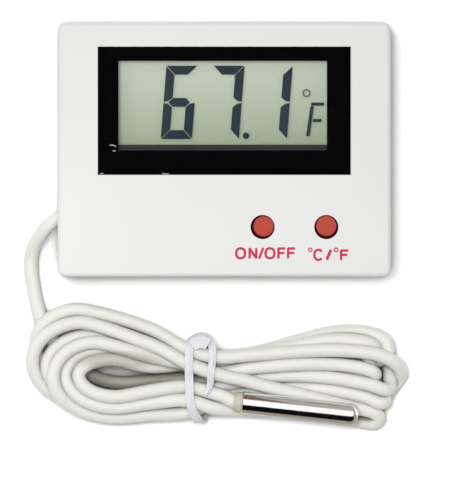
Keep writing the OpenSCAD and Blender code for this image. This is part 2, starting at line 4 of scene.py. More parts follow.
import bpy
import numpy as np
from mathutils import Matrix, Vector


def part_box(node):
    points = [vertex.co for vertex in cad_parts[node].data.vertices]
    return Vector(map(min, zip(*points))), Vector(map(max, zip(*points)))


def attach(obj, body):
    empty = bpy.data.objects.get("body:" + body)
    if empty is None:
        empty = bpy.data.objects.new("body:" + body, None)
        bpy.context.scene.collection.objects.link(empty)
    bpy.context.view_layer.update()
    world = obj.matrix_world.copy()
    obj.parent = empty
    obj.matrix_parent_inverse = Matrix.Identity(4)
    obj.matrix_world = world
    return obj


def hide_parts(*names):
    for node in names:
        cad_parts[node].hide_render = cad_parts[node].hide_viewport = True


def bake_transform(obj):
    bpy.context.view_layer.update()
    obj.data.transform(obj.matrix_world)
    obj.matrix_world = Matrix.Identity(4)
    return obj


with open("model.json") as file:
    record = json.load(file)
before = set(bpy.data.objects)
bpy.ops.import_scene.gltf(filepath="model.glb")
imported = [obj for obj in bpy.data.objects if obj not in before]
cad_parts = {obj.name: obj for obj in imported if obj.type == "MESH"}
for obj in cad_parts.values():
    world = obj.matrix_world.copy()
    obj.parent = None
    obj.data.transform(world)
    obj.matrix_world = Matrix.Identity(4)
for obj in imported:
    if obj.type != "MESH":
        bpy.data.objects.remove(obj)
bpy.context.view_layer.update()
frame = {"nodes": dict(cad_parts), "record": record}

MM = 0.001
FACE_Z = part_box("front_case")[1].z / MM
NODES = frame["nodes"]
SCENE = bpy.context.scene

# centre and radii of the painted shade on the hank's innermost loop, which lies under the others, in mm
LOOP_SHADE_CENTRE = (-19.5, -39.3)
LOOP_SHADE_RADII = (9.0, 2.1)


# ---------------------------------------------------------------- materials
class Look:
    """A material under construction: a Principled shader with procedural detail added to it."""

    def __init__(self, name, color, rough=0.5, metal=0.0, coat=0.0, specular=0.5):
        self.mat = bpy.data.materials.new(name)
        self.mat.use_nodes = True
        self.tree = self.mat.node_tree
        self.shader = self.tree.nodes["Principled BSDF"]
        self.shader.inputs["Base Color"].default_value = (*color, 1)
        self.shader.inputs["Roughness"].default_value = rough
        self.shader.inputs["Metallic"].default_value = metal
        self.shader.inputs["Coat Weight"].default_value = coat
        self.shader.inputs["Coat Roughness"].default_value = 0.15
        self.shader.inputs["Specular IOR Level"].default_value = specular
        self.color = color
        self.rough = rough
        self.coords = self.add("ShaderNodeTexCoord").outputs["Object"]
        self.height = None

    def add(self, kind, **values):
        node = self.tree.nodes.new(kind)
        for key, value in values.items():
            setattr(node, key, value)
        return node

    def link(self, a, b):
        self.tree.links.new(a, b)

    def noise(self, per_mm, detail=3.0, stretch=(1, 1, 1), seed=0.0, rough=0.55):
        move = self.add("ShaderNodeMapping")
        move.inputs["Location"].default_value = (seed, seed * 0.7, -seed)
        move.inputs["Scale"].default_value = [s * per_mm / MM for s in stretch]
        self.link(self.coords, move.inputs["Vector"])
        node = self.add("ShaderNodeTexNoise")
        node.inputs["Scale"].default_value = 1.0
        node.inputs["Detail"].default_value = detail
        node.inputs["Roughness"].default_value = rough
        self.link(move.outputs["Vector"], node.inputs["Vector"])
        return node.outputs["Fac"]

    def ramp(self, value, low, high, out_low=0.0, out_high=1.0):
        node = self.add("ShaderNodeMapRange")
        node.inputs["From Min"].default_value = low
        node.inputs["From Max"].default_value = high
        node.inputs["To Min"].default_value = out_low
        node.inputs["To Max"].default_value = out_high
        self.link(value, node.inputs["Value"])
        return node.outputs["Result"]

    def tint(self, amount, other):
        """Mixes another colour over the base colour where amount is high."""
        node = self.add("ShaderNodeMix", data_type="RGBA")
        base = self.shader.inputs["Base Color"]
        if base.is_linked:
            self.link(base.links[0].from_socket, node.inputs["A"])
        else:
            node.inputs["A"].default_value = base.default_value
        node.inputs["B"].default_value = (*other, 1)
        self.link(amount, node.inputs["Factor"])
        self.link(node.outputs["Result"], base)
        return self

    def place(self):
        """The X, Y and Z outputs of the shading point in the object's own frame."""
        node = self.add("ShaderNodeSeparateXYZ")
        self.link(self.coords, node.inputs["Vector"])
        return node.outputs

    def combined(self, operation, a, b):
        node = self.add("ShaderNodeMath", operation=operation)
        self.link(a, node.inputs[0])
        self.link(b, node.inputs[1])
        return node.outputs["Value"]

    def openness(self, reach_mm, samples=16):
        """1 on open surfaces, falling towards 0 where other surfaces crowd in within reach_mm."""
        node = self.add("ShaderNodeAmbientOcclusion")
        node.samples = samples
        node.inputs["Distance"].default_value = reach_mm * MM
        return node.outputs["AO"]

    def from_spot(self, centre_mm, radii_mm):
        """0 at an elliptical spot's centre, 1 on its outline, whatever the height."""
        away = self.add("ShaderNodeVectorMath", operation="SUBTRACT")
        self.link(self.coords, away.inputs[0])
        away.inputs[1].default_value = (centre_mm[0] * MM, centre_mm[1] * MM, 0)
        reach = self.add("ShaderNodeVectorMath", operation="DIVIDE")
        self.link(away.outputs["Vector"], reach.inputs[0])
        reach.inputs[1].default_value = (radii_mm[0] * MM, radii_mm[1] * MM, 1)
        distance = self.add("ShaderNodeVectorMath", operation="LENGTH")
        self.link(reach.outputs["Vector"], distance.inputs[0])
        return distance.outputs["Value"]

    def rough_from(self, value, low, high):
        self.link(self.ramp(value, 0.3, 0.7, low, high), self.shader.inputs["Roughness"])
        return self

    def bump(self, value, depth_mm, strength=1.0):
        node = self.add("ShaderNodeBump")
        node.inputs["Strength"].default_value = strength
        node.inputs["Distance"].default_value = depth_mm * MM
        self.link(value, node.inputs["Height"])
        if self.height is not None:
            self.link(self.height, node.inputs["Normal"])
        self.height = node.outputs["Normal"]
        self.link(self.height, self.shader.inputs["Normal"])
        return self


DIRT = (0.55, 0.52, 0.46)


def moulded(name, color, rough, fine_mm=0.004, dirt=0.1, seed=0.0, specular=0.5):
    """Injection-moulded plastic: a fine spark-eroded grain, slow colour drift and faint handling marks."""
    look = Look(name, color, rough, specular=specular)
    grain = look.noise(9.0, 2.0, seed=seed)
    drift = look.noise(0.07, 3.0, seed=seed + 3)
    marks = look.noise(0.9, 6.0, seed=seed + 7, rough=0.7)
    look.tint(look.ramp(drift, 0.35, 0.75, 0.0, dirt), DIRT)
    look.tint(look.ramp(marks, 0.64, 0.8, 0.0, dirt * 0.8), DIRT)
    look.rough_from(drift, rough - 0.06, rough + 0.08)
    look.bump(grain, fine_mm)
    look.bump(look.noise(0.25, 2.0, seed=seed + 1), 0.012)
    return look.mat


def metal(name, color, rough, scratch=0.15, stretch=(1, 1, 1), seed=0.0):
    """Bare or plated metal with fine streaks and dull blotches."""
    look = Look(name, color, rough, metal=1.0)
    streaks = look.noise(6.0, 4.0, stretch=stretch, seed=seed)
    blotch = look.noise(0.5, 4.0, seed=seed + 2)
    look.tint(look.ramp(blotch, 0.5, 0.8, 0.0, 0.35), tuple(c * 0.7 for c in color))
    look.rough_from(streaks, max(0.03, rough - scratch / 2), rough + scratch / 2)
    look.bump(streaks, 0.0015)
    return look.mat


def see_through(name, tint, gloss, rough=0.05):
    """Thin clear sheet: light passes straight through, and the reflection grows at grazing angles."""
    mat = bpy.data.materials.new(name)
    mat.use_nodes = True
    tree = mat.node_tree
    tree.nodes.remove(tree.nodes["Principled BSDF"])
    out = tree.nodes["Material Output"]
    clear = tree.nodes.new("ShaderNodeBsdfTransparent")
    clear.inputs["Color"].default_value = (*tint, 1)
    shine = tree.nodes.new("ShaderNodeBsdfGlossy")
    mix = tree.nodes.new("ShaderNodeMixShader")
    fresnel = tree.nodes.new("ShaderNodeFresnel")
    fresnel.inputs["IOR"].default_value = 1.0 + gloss
    coords = tree.nodes.new("ShaderNodeTexCoord")
    smear = tree.nodes.new("ShaderNodeTexNoise")
    smear.inputs["Scale"].default_value = 160.0
    smear.inputs["Detail"].default_value = 5.0
    spread = tree.nodes.new("ShaderNodeMapRange")
    spread.inputs["To Min"].default_value = rough
    spread.inputs["To Max"].default_value = rough + 0.12
    tree.links.new(coords.outputs["Object"], smear.inputs["Vector"])
    tree.links.new(smear.outputs["Fac"], spread.inputs["Value"])
    tree.links.new(spread.outputs["Result"], shine.inputs["Roughness"])
    tree.links.new(fresnel.outputs["Fac"], mix.inputs["Fac"])
    tree.links.new(clear.outputs["BSDF"], mix.inputs[1])
    tree.links.new(shine.outputs["BSDF"], mix.inputs[2])
    tree.links.new(mix.outputs["Shader"], out.inputs["Surface"])
    return mat


def case_look(name, color, seed):
    """White moulded plastic with a fine grain, and painted shade that makes it paler at the lower left than
    at the upper right.
    """
    look = Look(name, color, 0.42)
    grain = look.noise(7.0, 3.0, seed=seed)
    drift = look.noise(0.045, 3.0, seed=seed + 2)
    specks = look.noise(1.6, 2.0, seed=seed + 5, rough=0.4)
    look.tint(look.ramp(drift, 0.35, 0.7, 0.0, 0.5), (0.585, 0.585, 0.58))
    look.tint(look.ramp(specks, 0.74, 0.78, 0.0, 0.22), (0.60, 0.58, 0.52))
    place = look.place()
    # painted shade: the face darkens towards the top and towards the right
    look.tint(look.ramp(place["Y"], -16 * MM, 22 * MM, 0.0, 0.6), (0.48, 0.48, 0.475))
    look.tint(look.ramp(place["X"], -22 * MM, 26 * MM, 0.0, 0.5), (0.48, 0.48, 0.475))
    look.rough_from(look.noise(0.4, 5.0, seed=seed + 9), 0.36, 0.5)
    look.bump(grain, 0.005)
    look.bump(look.noise(0.12, 2.0, seed=seed + 4), 0.03)
    return look.mat


def red_look():
    """Matt red plastic, with painted shade that makes it dark where the cap sinks into its hole."""
    look = Look("red_plastic", (0.33, 0.042, 0.029), 0.6, specular=0.15)
    fade = look.noise(0.8, 3.0, seed=2)
    look.tint(look.ramp(fade, 0.35, 0.65, 0.0, 0.4), (0.37, 0.06, 0.042))
    look.tint(look.ramp(look.noise(5.0, 4.0, seed=4), 0.62, 0.75, 0.0, 0.25), (0.43, 0.105, 0.08))
    # painted shade: below the case face the cap turns almost black, as if unlit in its hole
    face = FACE_Z * MM
    shade_in_hole = look.ramp(look.place()["Z"], face + 0.02 * MM, face - 0.3 * MM, 0.0, 0.95)
    look.tint(shade_in_hole, (0.02, 0.001, 0.001))
    look.rough_from(fade, 0.52, 0.7)
    look.bump(look.noise(8.0, 3.0, seed=1), 0.006)
    return look.mat


def cable_look():
    """White PVC sheath, faintly translucent, with soft ripples, handling marks, and painted shade in its
    hollows, on crowded low strands and on the innermost loop.
    """
    look = Look("cable_sheath", (0.585, 0.585, 0.555), 0.36, specular=0.4)
    look.shader.inputs["Subsurface Weight"].default_value = 0.22
    look.shader.inputs["Subsurface Radius"].default_value = (0.0012, 0.0011, 0.0009)
    look.shader.inputs["Subsurface Scale"].default_value = 1.0
    drift = look.noise(0.12, 3.0, seed=1)
    marks = look.noise(1.1, 6.0, seed=5, rough=0.7)
    look.tint(look.ramp(drift, 0.35, 0.7, 0.0, 0.35), (0.565, 0.555, 0.51))
    look.tint(look.ramp(marks, 0.62, 0.8, 0.0, 0.25), (0.52, 0.49, 0.43))
    # painted shade: a faint darkening where other strands crowd in
    openness = look.openness(7, samples=8)
    look.tint(look.ramp(openness, 0.5, 0.1, 0.0, 0.12), (0.17, 0.16, 0.12))
    place = look.place()
    # painted shade: strands that lie low and crowded, from about x = -30 mm rightwards, turn dark olive
    crowded = look.ramp(openness, 0.75, 0.4, 0.0, 0.88)
    low_down = look.ramp(place["Z"], 3.8 * MM, 2.6 * MM, 0.0, 1.0)
    inward = look.ramp(place["X"], -30 * MM, -27.5 * MM, 0.0, 1.0)
    buried_in_shade = look.combined("MULTIPLY", crowded, low_down)
    look.tint(look.combined("MULTIPLY", buried_in_shade, inward), (0.15, 0.141, 0.105))
    # painted shade on the innermost loop, which lies under the other strands
    from_loop = look.from_spot(LOOP_SHADE_CENTRE, LOOP_SHADE_RADII)
    look.tint(look.ramp(from_loop, 1.05, 0.55, 0.0, 0.6), (0.27, 0.26, 0.205))
    look.rough_from(marks, 0.27, 0.42)
    look.bump(look.noise(0.35, 2.0, seed=3), 0.05, 0.5)
    look.bump(look.noise(5.0, 3.0, seed=8), 0.004)
    return look.mat


def tie_look():
    """Lilac-white plastic ribbon, slightly translucent and creased."""
    look = Look("tie_ribbon", (0.55, 0.547, 0.58), 0.4, coat=0.05)
    look.shader.inputs["Subsurface Weight"].default_value = 0.1
    look.shader.inputs["Subsurface Radius"].default_value = (0.001, 0.001, 0.0012)
    look.shader.inputs["Subsurface Scale"].default_value = 1.0
    crease = look.noise(1.4, 4.0, seed=6)
    look.tint(look.ramp(crease, 0.4, 0.7, 0.0, 0.45), (0.50, 0.497, 0.535))
    look.rough_from(crease, 0.22, 0.42)
    look.bump(look.noise(1.8, 3.0, seed=2), 0.05, 0.7)
    return look.mat


def probe_look():
    """Polished stainless steel with fine lengthwise draw lines and a few wipe marks."""
    look = Look("probe_steel", (0.87, 0.85, 0.83), 0.1, metal=1.0)
    lines = look.noise(2.2, 3.0, stretch=(0.06, 1, 1), seed=3)
    smear = look.noise(0.35, 4.0, seed=8)
    look.tint(look.ramp(smear, 0.45, 0.75, 0.0, 0.3), (0.70, 0.66, 0.62))
    look.rough_from(smear, 0.06, 0.16)
    look.bump(lines, 0.003, 0.6)
    look.bump(look.noise(0.5, 3.0, seed=12), 0.02, 0.5)
    return look.mat


def display_look():
    """Pearly reflector behind the display: uneven grey-green, with painted shade that darkens it towards the
    bottom and a little towards the right, and a fine granular sheen.
    """
    look = Look("display_reflector", (0.50, 0.52, 0.47), 0.6, specular=0.1)
    place = look.place()
    low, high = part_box("lcd_reflector")
    # painted shade: darker towards the bottom of the reflector and a little towards its right
    down = look.ramp(place["Y"], high.y, low.y, 0.0, 1.0)
    across = look.ramp(place["X"], low.x, high.x, 0.0, 0.12)
    total = look.combined("ADD", down, across)
    look.tint(look.ramp(total, 0.12, 1.1, 0.0, 0.95), (0.262, 0.295, 0.212))
    look.tint(look.ramp(look.noise(3.0, 4.0, seed=2), 0.4, 0.7, 0.0, 0.2), (0.43, 0.445, 0.43))
    look.bump(look.noise(6.0, 3.0, seed=1), 0.01)
    return look.mat


def mask_look():
    """Dead black print behind the lens, with a few pinholes."""
    look = Look("window_print", (0.0012, 0.0012, 0.0014), 0.6, specular=0.0)
    chips = look.noise(0.55, 5.0, seed=21, rough=0.75)
    look.tint(look.ramp(chips, 0.735, 0.76, 0.0, 0.5), (0.18, 0.18, 0.19))
    look.rough_from(look.noise(0.8, 4.0, seed=3), 0.55, 0.7)
    look.bump(look.noise(1.0, 3.0, seed=5), 0.01)
    return look.mat


def board_look():
    """Green solder mask over a woven laminate, with tracks showing through."""
    look = Look("circuit_board", (0.03, 0.14, 0.06), 0.35, coat=0.3)
    weave = look.noise(3.0, 2.0, seed=4)
    look.tint(look.ramp(weave, 0.4, 0.6, 0.0, 0.4), (0.04, 0.20, 0.09))
    tracks = look.noise(0.6, 0.0, stretch=(1, 0.15, 1), seed=9)
    look.tint(look.ramp(tracks, 0.52, 0.54, 0.0, 0.5), (0.08, 0.28, 0.12))
    look.rough_from(weave, 0.28, 0.45)
    look.bump(tracks, 0.03)
    return look.mat


LOOKS = {
    "case_white": case_look("case_white", (0.56, 0.56, 0.55), 0.0),
    "case_rear": case_look("case_rear", (0.55, 0.55, 0.54), 11.0),
    "lens": see_through("window_lens", (1.0, 1.0, 1.0), 0.035, 0.04),
    "mask": mask_look(),
    "polariser": see_through("polariser", (0.97, 0.975, 0.965), 0.02, 0.25),
    "display_glass": see_through("display_glass", (0.99, 0.995, 0.99), 0.02, 0.05),
    "reflector": display_look(),
    "holder": moulded("holder", (0.016, 0.016, 0.017), 0.6, dirt=0.02, seed=2, specular=0.2),
    "elastomer": moulded("elastomer", (0.02, 0.02, 0.02), 0.7, seed=3),
    "board": board_look(),
    "epoxy_black": moulded("epoxy_black", (0.012, 0.012, 0.012), 0.3, 0.01, seed=4),
    "tinned": metal("tinned", (0.66, 0.66, 0.67), 0.3, seed=5),
    "capacitor": moulded("capacitor", (0.42, 0.27, 0.11), 0.45, seed=6),
    "red_plastic": red_look(),
    "black_plastic": moulded("black_plastic", (0.02, 0.02, 0.02), 0.5, seed=7),
    "cell_steel": metal("cell_steel", (0.78, 0.78, 0.78), 0.16, seed=8),
    "spring_brass": metal("spring_brass", (0.72, 0.52, 0.22), 0.25, seed=9),
    "wire_red": moulded("wire_red", (0.45, 0.02, 0.02), 0.35, seed=10),
    "wire_white": moulded("wire_white", (0.78, 0.78, 0.75), 0.35, seed=12),
    "screw_steel": metal("screw_steel", (0.55, 0.55, 0.56), 0.3, 0.25, seed=13),
    "cable": cable_look(),
    "probe_steel": probe_look(),
    "seal": moulded("seal_epoxy", (0.39, 0.37, 0.30), 0.42, 0.012, 0.3, seed=14),
    "bead": moulded("bead", (0.03, 0.03, 0.035), 0.25, seed=15),
    "tie": tie_look(),
}
SEGMENT_INK = moulded("display_segment", (0.022, 0.032, 0.045), 0.6, dirt=0.02, seed=16, specular=0.0)
PALE_INK = moulded("display_degree", (0.11, 0.15, 0.13), 0.6, dirt=0.02, seed=19, specular=0.0)
CHIP = moulded("bare_plastic", (0.30, 0.30, 0.31), 0.5, dirt=0.5, seed=18, specular=0.1)
LABEL_INK = moulded("label_ink", (0.44, 0.016, 0.062), 0.6, 0.01, 0.05, seed=17, specular=0.1)


def dress_cad():
    """Gives every CAD node its material, welded and smoothed without touching its own vertices."""
    slot_of = {s["node"]: s["material_slot"] for s in frame["record"]["subparts"]}
    for name, obj in NODES.items():
        obj.data.materials.clear()
        obj.data.materials.append(LOOKS[slot_of[name]])
        for face in obj.data.polygons:
            face.use_smooth = True
            face.material_index = 0
        weld = obj.modifiers.new("weld", "WELD")
        weld.merge_threshold = 2e-6
        crease = obj.modifiers.new("crease", "EDGE_SPLIT")
        crease.split_angle = math.radians(32)


# ---------------------------------------------------------------- mesh helpers
def new_object(name, verts, faces, material, smooth=True):
    mesh = bpy.data.meshes.new(name)
    mesh.from_pydata([tuple(float(c) for c in v) for v in verts], [], faces)
    mesh.validate()
    mesh.update()
    if smooth:
        mesh.shade_smooth()
        sharpen_caps(mesh)
    obj = bpy.data.objects.new(name, mesh)
    SCENE.collection.objects.link(obj)
    obj.data.materials.append(material)
    return obj


def sharpen_caps(mesh):
    """End caps are flat and sharp-edged, so that a cut through a cord doesn't show as a shaded ring."""
    sharp = set()
    for face in mesh.polygons:
        if len(face.vertices) > 4:
            face.use_smooth = False
            sharp.update(face.edge_keys)
    for edge in mesh.edges:
        if edge.key in sharp:
            edge.use_edge_sharp = True


def unit(v):
    return v / np.linalg.norm(v, axis=-1, keepdims=True)


def curve_through(points, step):
    """Centripetal curve through the points, sampled about every step."""
    p = np.vstack([2 * points[0] - points[1], points, 2 * points[-1] - points[-2]])
    out = []
    for i in range(1, len(p) - 2):
        a, b, c, d = p[i - 1 : i + 3]
        t1 = max(np.linalg.norm(b - a), 1e-9) ** 0.5
        t2 = t1 + max(np.linalg.norm(c - b), 1e-9) ** 0.5
        t3 = t2 + max(np.linalg.norm(d - c), 1e-9) ** 0.5
        count = max(1, int(math.ceil(np.linalg.norm(c - b) / step)))
        for t in t1 + (t2 - t1) * np.arange(count) / count:
            p1 = (t1 - t) / t1 * a + t / t1 * b
            p2 = (t2 - t) / (t2 - t1) * b + (t - t1) / (t2 - t1) * c
            p3 = (t3 - t) / (t3 - t2) * c + (t - t2) / (t3 - t2) * d
            q1 = (t2 - t) / t2 * p1 + t / t2 * p2
            q2 = (t3 - t) / (t3 - t1) * p2 + (t - t1) / (t3 - t1) * p3
            out.append((t2 - t) / (t2 - t1) * q1 + (t - t1) / (t2 - t1) * q2)
    out.append(points[-1])
    return np.array(out)


def resampled(points, step):
    """The same path with its points spaced evenly, about every step."""
    s = np.concatenate([[0], np.cumsum(np.linalg.norm(np.diff(points, axis=0), axis=1))])
    count = max(2, int(round(s[-1] / step)) + 1)
    at = np.linspace(0, s[-1], count)
    return np.stack([np.interp(at, s, points[:, k]) for k in range(3)], axis=1)


def softened(values, width):
    """Gaussian smoothing along the first axis that keeps both ends where they are."""
    reach = int(3 * width) + 1
    kernel = np.exp(-0.5 * (np.arange(-reach, reach + 1) / width) ** 2)
    kernel /= kernel.sum()
    padded = np.concatenate([
        2 * values[:1] - values[reach:0:-1], values, 2 * values[-1:] - values[-2 : -reach - 2 : -1]
    ])
    return np.stack([np.convolve(padded[:, k], kernel, "valid") for k in range(values.shape[1])], 1)


def tangents(points):
    return unit(np.gradient(points, axis=0))


def carried_normals(t, first):
    """A normal for each tangent, carried along the path without twisting."""
    n = np.zeros_like(t)
    n[0] = unit(first - (first @ t[0]) * t[0])
    for i in range(1, len(t)):
        n[i] = unit(n[i - 1] - (n[i - 1] @ t[i]) * t[i])
    return n


def skin(ring_count, side_count, closed=False):
    """The faces that join ring after ring into a tube, closed into a loop or with capped ends."""
    faces = []
    for i in range(ring_count if closed else ring_count - 1):
        a, b = i * side_count, (i + 1) % ring_count * side_count
        for j in range(side_count):
            k = (j + 1) % side_count
            faces.append((a + j, a + k, b + k, b + j))
    if not closed:
        faces.append(tuple(range(side_count - 1, -1, -1)))
        faces.append(tuple((ring_count - 1) * side_count + j for j in range(side_count)))
    return faces


def tube_rings(points, radius, side_count, first=(0.1, 0.2, 1.0)):
    t = tangents(points)
    n = carried_normals(t, np.array(first))
    b = np.cross(t, n)
    a = 2 * math.pi * np.arange(side_count) / side_count
    r = np.broadcast_to(radius, (len(points),))[:, None, None]
    around = np.cos(a)[None, :, None] * n[:, None] + np.sin(a)[None, :, None] * b[:, None]
    return points[:, None] + r * around


def flat_stroke(name, path, width, z, material, closed=False, thick=0.03, sides=12):
    """A printed line: a rounded cord along the path, pressed nearly flat on the plane z (all in mm)."""
    points = np.array([(x, y, 0.0) for x, y in path])
    if closed:
        ahead = np.roll(points, -1, axis=0) - np.roll(points, 1, axis=0)
        t = unit(ahead)
        side = np.stack([-t[:, 1], t[:, 0], 0 * t[:, 0]], 1)
    else:
        t = tangents(points)
        points = np.vstack([points[0] - t[0] * width * 0.18, points, points[-1] + t[-1] * width * 0.18])
        t = np.vstack([t[0], t, t[-1]])
        side = np.stack([-t[:, 1], t[:, 0], 0 * t[:, 0]], 1)
    a = 2 * math.pi * np.arange(sides) / sides
    half = np.full(len(points), width / 2)
    if not closed:
        half[0] *= 0.72
        half[-1] *= 0.72
    up = np.array([0, 0, 1.0])
    squared = np.sign(np.sin(a)) * np.abs(np.sin(a)) ** 0.5
    rings = points[:, None] + half[:, None, None] * np.cos(a)[None, :, None] * side[:, None]
    rings = rings + thick * 0.5 * squared[None, :, None] * up
    rings[..., 2] += z
    verts = (rings * MM).reshape(-1, 3)
    return new_object(name, verts, skin(len(points), sides, closed), material)


def plate(name, outline, z0, z1, material):
    """A flat plate with the given outline (anticlockwise, mm), from z0 to z1."""
    n = len(outline)
    verts = [(x * MM, y * MM, z0 * MM) for x, y in outline] + [
        (x * MM, y * MM, z1 * MM) for x, y in outline
    ]
    faces = [tuple(range(n - 1, -1, -1)), tuple(range(n, 2 * n))]
    faces += [(i, (i + 1) % n, n + (i + 1) % n, n + i) for i in range(n)]
    return new_object(name, verts, faces, material, smooth=False)


def joined(name, objects):
    """One object from several, by copying their meshes together."""
    verts, faces = [], []
    for obj in objects:
        base = len(verts)
        verts += [tuple(v.co) for v in obj.data.vertices]
        faces += [tuple(base + i for i in f.vertices) for f in obj.data.polygons]
    smooth = objects[0].data.polygons[0].use_smooth
    out = new_object(name, verts, faces, objects[0].data.materials[0], smooth)
    for obj in objects:
        mesh = obj.data
        bpy.data.objects.remove(obj)
        bpy.data.meshes.remove(mesh)
    return out


def ring_centres(node, near, count, spread=False):
    """Ring after ring of a swept CAD node, walking its edges from the ring nearest to a point."""
    obj = NODES[node]
    co = np.array([v.co for v in obj.data.vertices], float).reshape(-1, 3)
    _, first, inverse = np.unique(
        np.round(co / 1e-7).astype(np.int64), axis=0, return_index=True, return_inverse=True
    )
    inverse = inverse.reshape(-1)
    spots = co[first]
    beside = [set() for _ in spots]
    for face in obj.data.polygons:
        ids = [int(inverse[i]) for i in face.vertices]
        for a, b in zip(ids, ids[1:] + ids[:1]):
            beside[a].add(b)
            beside[b].add(a)
    order = np.argsort(np.linalg.norm(spots - np.array(near), axis=1))
    ring = [int(i) for i in order[:count]]
    seen = set(ring)
    rings = []
    while ring:
        rings.append(spots[ring])
        ahead = set().union(*(beside[i] for i in ring)) - seen
        seen |= ahead
        ring = sorted(ahead)
    if spread:
        return rings
    return np.array([r.mean(axis=0) for r in rings])


# ---------------------------------------------------------------- cable
def joint_place(name):
    """Where a joint of the record sits, in mm."""
    joint = next(j for j in frame["record"]["behaviour"]["joints"] if j["name"] == name)
    return np.array(joint["pos_m"]) / MM


# where the cable bends when the hank swings and when the probe lifts, in mm
SWING = joint_place("cable_swing")
LIFT = joint_place("probe_lift")
CABLE_R = 1.275
# rings at the ends of a CAD cable that only round off its cap
CAP_RINGS = 2


def cable_centres():
    """The whole cable's centre line in mm, from inside the case to inside the probe, from the CAD nodes."""
    lead = ring_centres("cable_lead", SWING * MM, 12)[::-1] / MM
    hank = ring_centres("cable_bundle", SWING * MM, 8) / MM
    tail = ring_centres("cable_tail", LIFT * MM, 12) / MM
    lead = lead[:-CAP_RINGS]
    hank = hank[CAP_RINGS:-CAP_RINGS]
    tail = tail[CAP_RINGS:]
    return lead, hank, tail


def probe_axis():
    """Mouth and tip of the steel tube's axis in mm."""
    seal = np.array([v.co for v in NODES["probe_seal"].data.vertices]) / MM
    tube = np.array([v.co for v in NODES["probe_tube"].data.vertices]) / MM
    start = seal.mean(axis=0)
    far = tube[np.argmax(np.linalg.norm(tube - start, axis=1))]
    return start, start + (far - start) * 0.93


CORD_SIDES = 28
# how much higher the lowest strands lie where the ribbon passes under them
RAISED_ON_TIE = 0.5
# how far a strand's surface stays from the steel tube's axis
PROBE_CLEAR = 2.2


def settled(points, fixed):
    """Lifts strands that press into each other apart. They stay close to their places seen from above."""
    home = points.copy()
    rest = 2 * CABLE_R * 0.985
    index = np.arange(len(points))
    free = np.clip(np.minimum(index - fixed[0], fixed[1] - index) / 6.0, 0, 1)[:, None]
    under_tie = np.clip(1.6 - np.abs(home[:, 0] - TIE_CENTRE[0]) / 2.5, 0, 1)
    lowest = CABLE_R + 0.03 + RAISED_ON_TIE * under_tie
    a, b = probe_axis()
    along = b - a
    pull = np.array([0.05, 0.05, 0.01])
    weight = np.array([0.16, 0.16, 0.42])
    for turn in range(400):
        if turn % 10 == 0:
            gap = np.sqrt(((points[:, None] - points[None]) ** 2).sum(axis=2))
            i, j = np.nonzero(np.triu(gap < rest + 1.2, 6))
        delta = points[i] - points[j]
        dist = np.linalg.norm(delta, axis=1) + 1e-9
        deep = np.clip(rest - dist, 0, None)
        way = delta / dist[:, None]
        up = np.where(np.abs(delta[:, 2]) > 0.12, np.sign(delta[:, 2]), -1.0)
        way[:, 2] = 0.35 * up + 0.65 * way[:, 2]
        push = deep[:, None] * way * weight
        move = (home - points) * pull
        np.add.at(move, i, push)
        np.add.at(move, j, -push)
        t = np.clip(((points - a) @ along) / (along @ along), 0, 1)
        off = points - (a + t[:, None] * along)
        room = np.linalg.norm(off, axis=1)
        into_probe = np.clip(CABLE_R + PROBE_CLEAR - room, 0, None)
        into_probe[index > fixed[1] - 8] = 0
        move += off / room[:, None] * into_probe[:, None] * 0.5
        shift = points + np.clip(move, -0.2, 0.2) * free - home
        shift = 0.6 * shift + 0.4 * softened(shift, 1.6)
        points = home + shift * free
        points[:, 2] = np.maximum(points[:, 2], lowest)
    return home + softened(points - home, 1.0) * free


def build_cable():
    """The cable as one cord in three pieces, cut where it bends. Gives back its centre line in mm."""
    lead, hank, tail = cable_centres()
    spine = resampled(curve_through(np.vstack([lead, hank, tail]), 0.4), 1.0)
    swing_at = int(np.argmin(np.linalg.norm(spine - SWING, axis=1)))
    late = spine[len(spine) // 2 :]
    lift_at = len(spine) // 2 + int(np.argmin(np.linalg.norm(late - LIFT, axis=1)))
    spine = settled(spine, (swing_at + 4, lift_at - 4))
    fine = curve_through(spine, 0.5)
    fine = np.vstack([fine[:1], softened(fine, 1.5)[1:-1], fine[-1:]])
    knots = np.arange(0, len(fine), 23)
    swell = np.random.default_rng(7).uniform(-0.012, 0.012, len(knots))
    wobble = np.interp(np.arange(len(fine)), knots, swell)
    rings = tube_rings(fine, CABLE_R * (1 + softened(wobble[:, None], 5)[:, 0]), CORD_SIDES) * MM
    step = len(fine) / len(spine)
    cut_a = int((swing_at + 7) * step)
    cut_b = int((lift_at - 5) * step)
    pieces = {
        "cable_lead_cord": (0, cut_a + 1),
        "cable_hank_cord": (cut_a, cut_b + 1),
        "cable_tail_cord": (cut_b, len(rings)),
    }
    made = {}
    for name, (start, end) in pieces.items():
        part = rings[start:end]
        faces = skin(len(part), CORD_SIDES)
        made[name] = new_object(name, part.reshape(-1, 3), faces, LOOKS["cable"])

    def at(i):
        return [float(c) * MM for c in fine[int(min(max(i, 0), len(fine) - 1))]]

    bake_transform(made["cable_lead_cord"])
    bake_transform(made["cable_tail_cord"])
    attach(made["cable_hank_cord"], "hank")
    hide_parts("cable_lead")
    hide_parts("cable_bundle")
    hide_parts("cable_tail")
    return fine


# ---------------------------------------------------------------- twist tie
# middle of the tied bundle, the ribbon's free end, its extent from front to back, and the spacing of
# the points along it, in mm
TIE_CENTRE = (-4.4, -43.0, 4.4)
TIE_END = (-3.5, -45.7, 8.1)
TIE_FRONT, TIE_BACK = -50.65, -34.6
TIE_STEP = 0.3


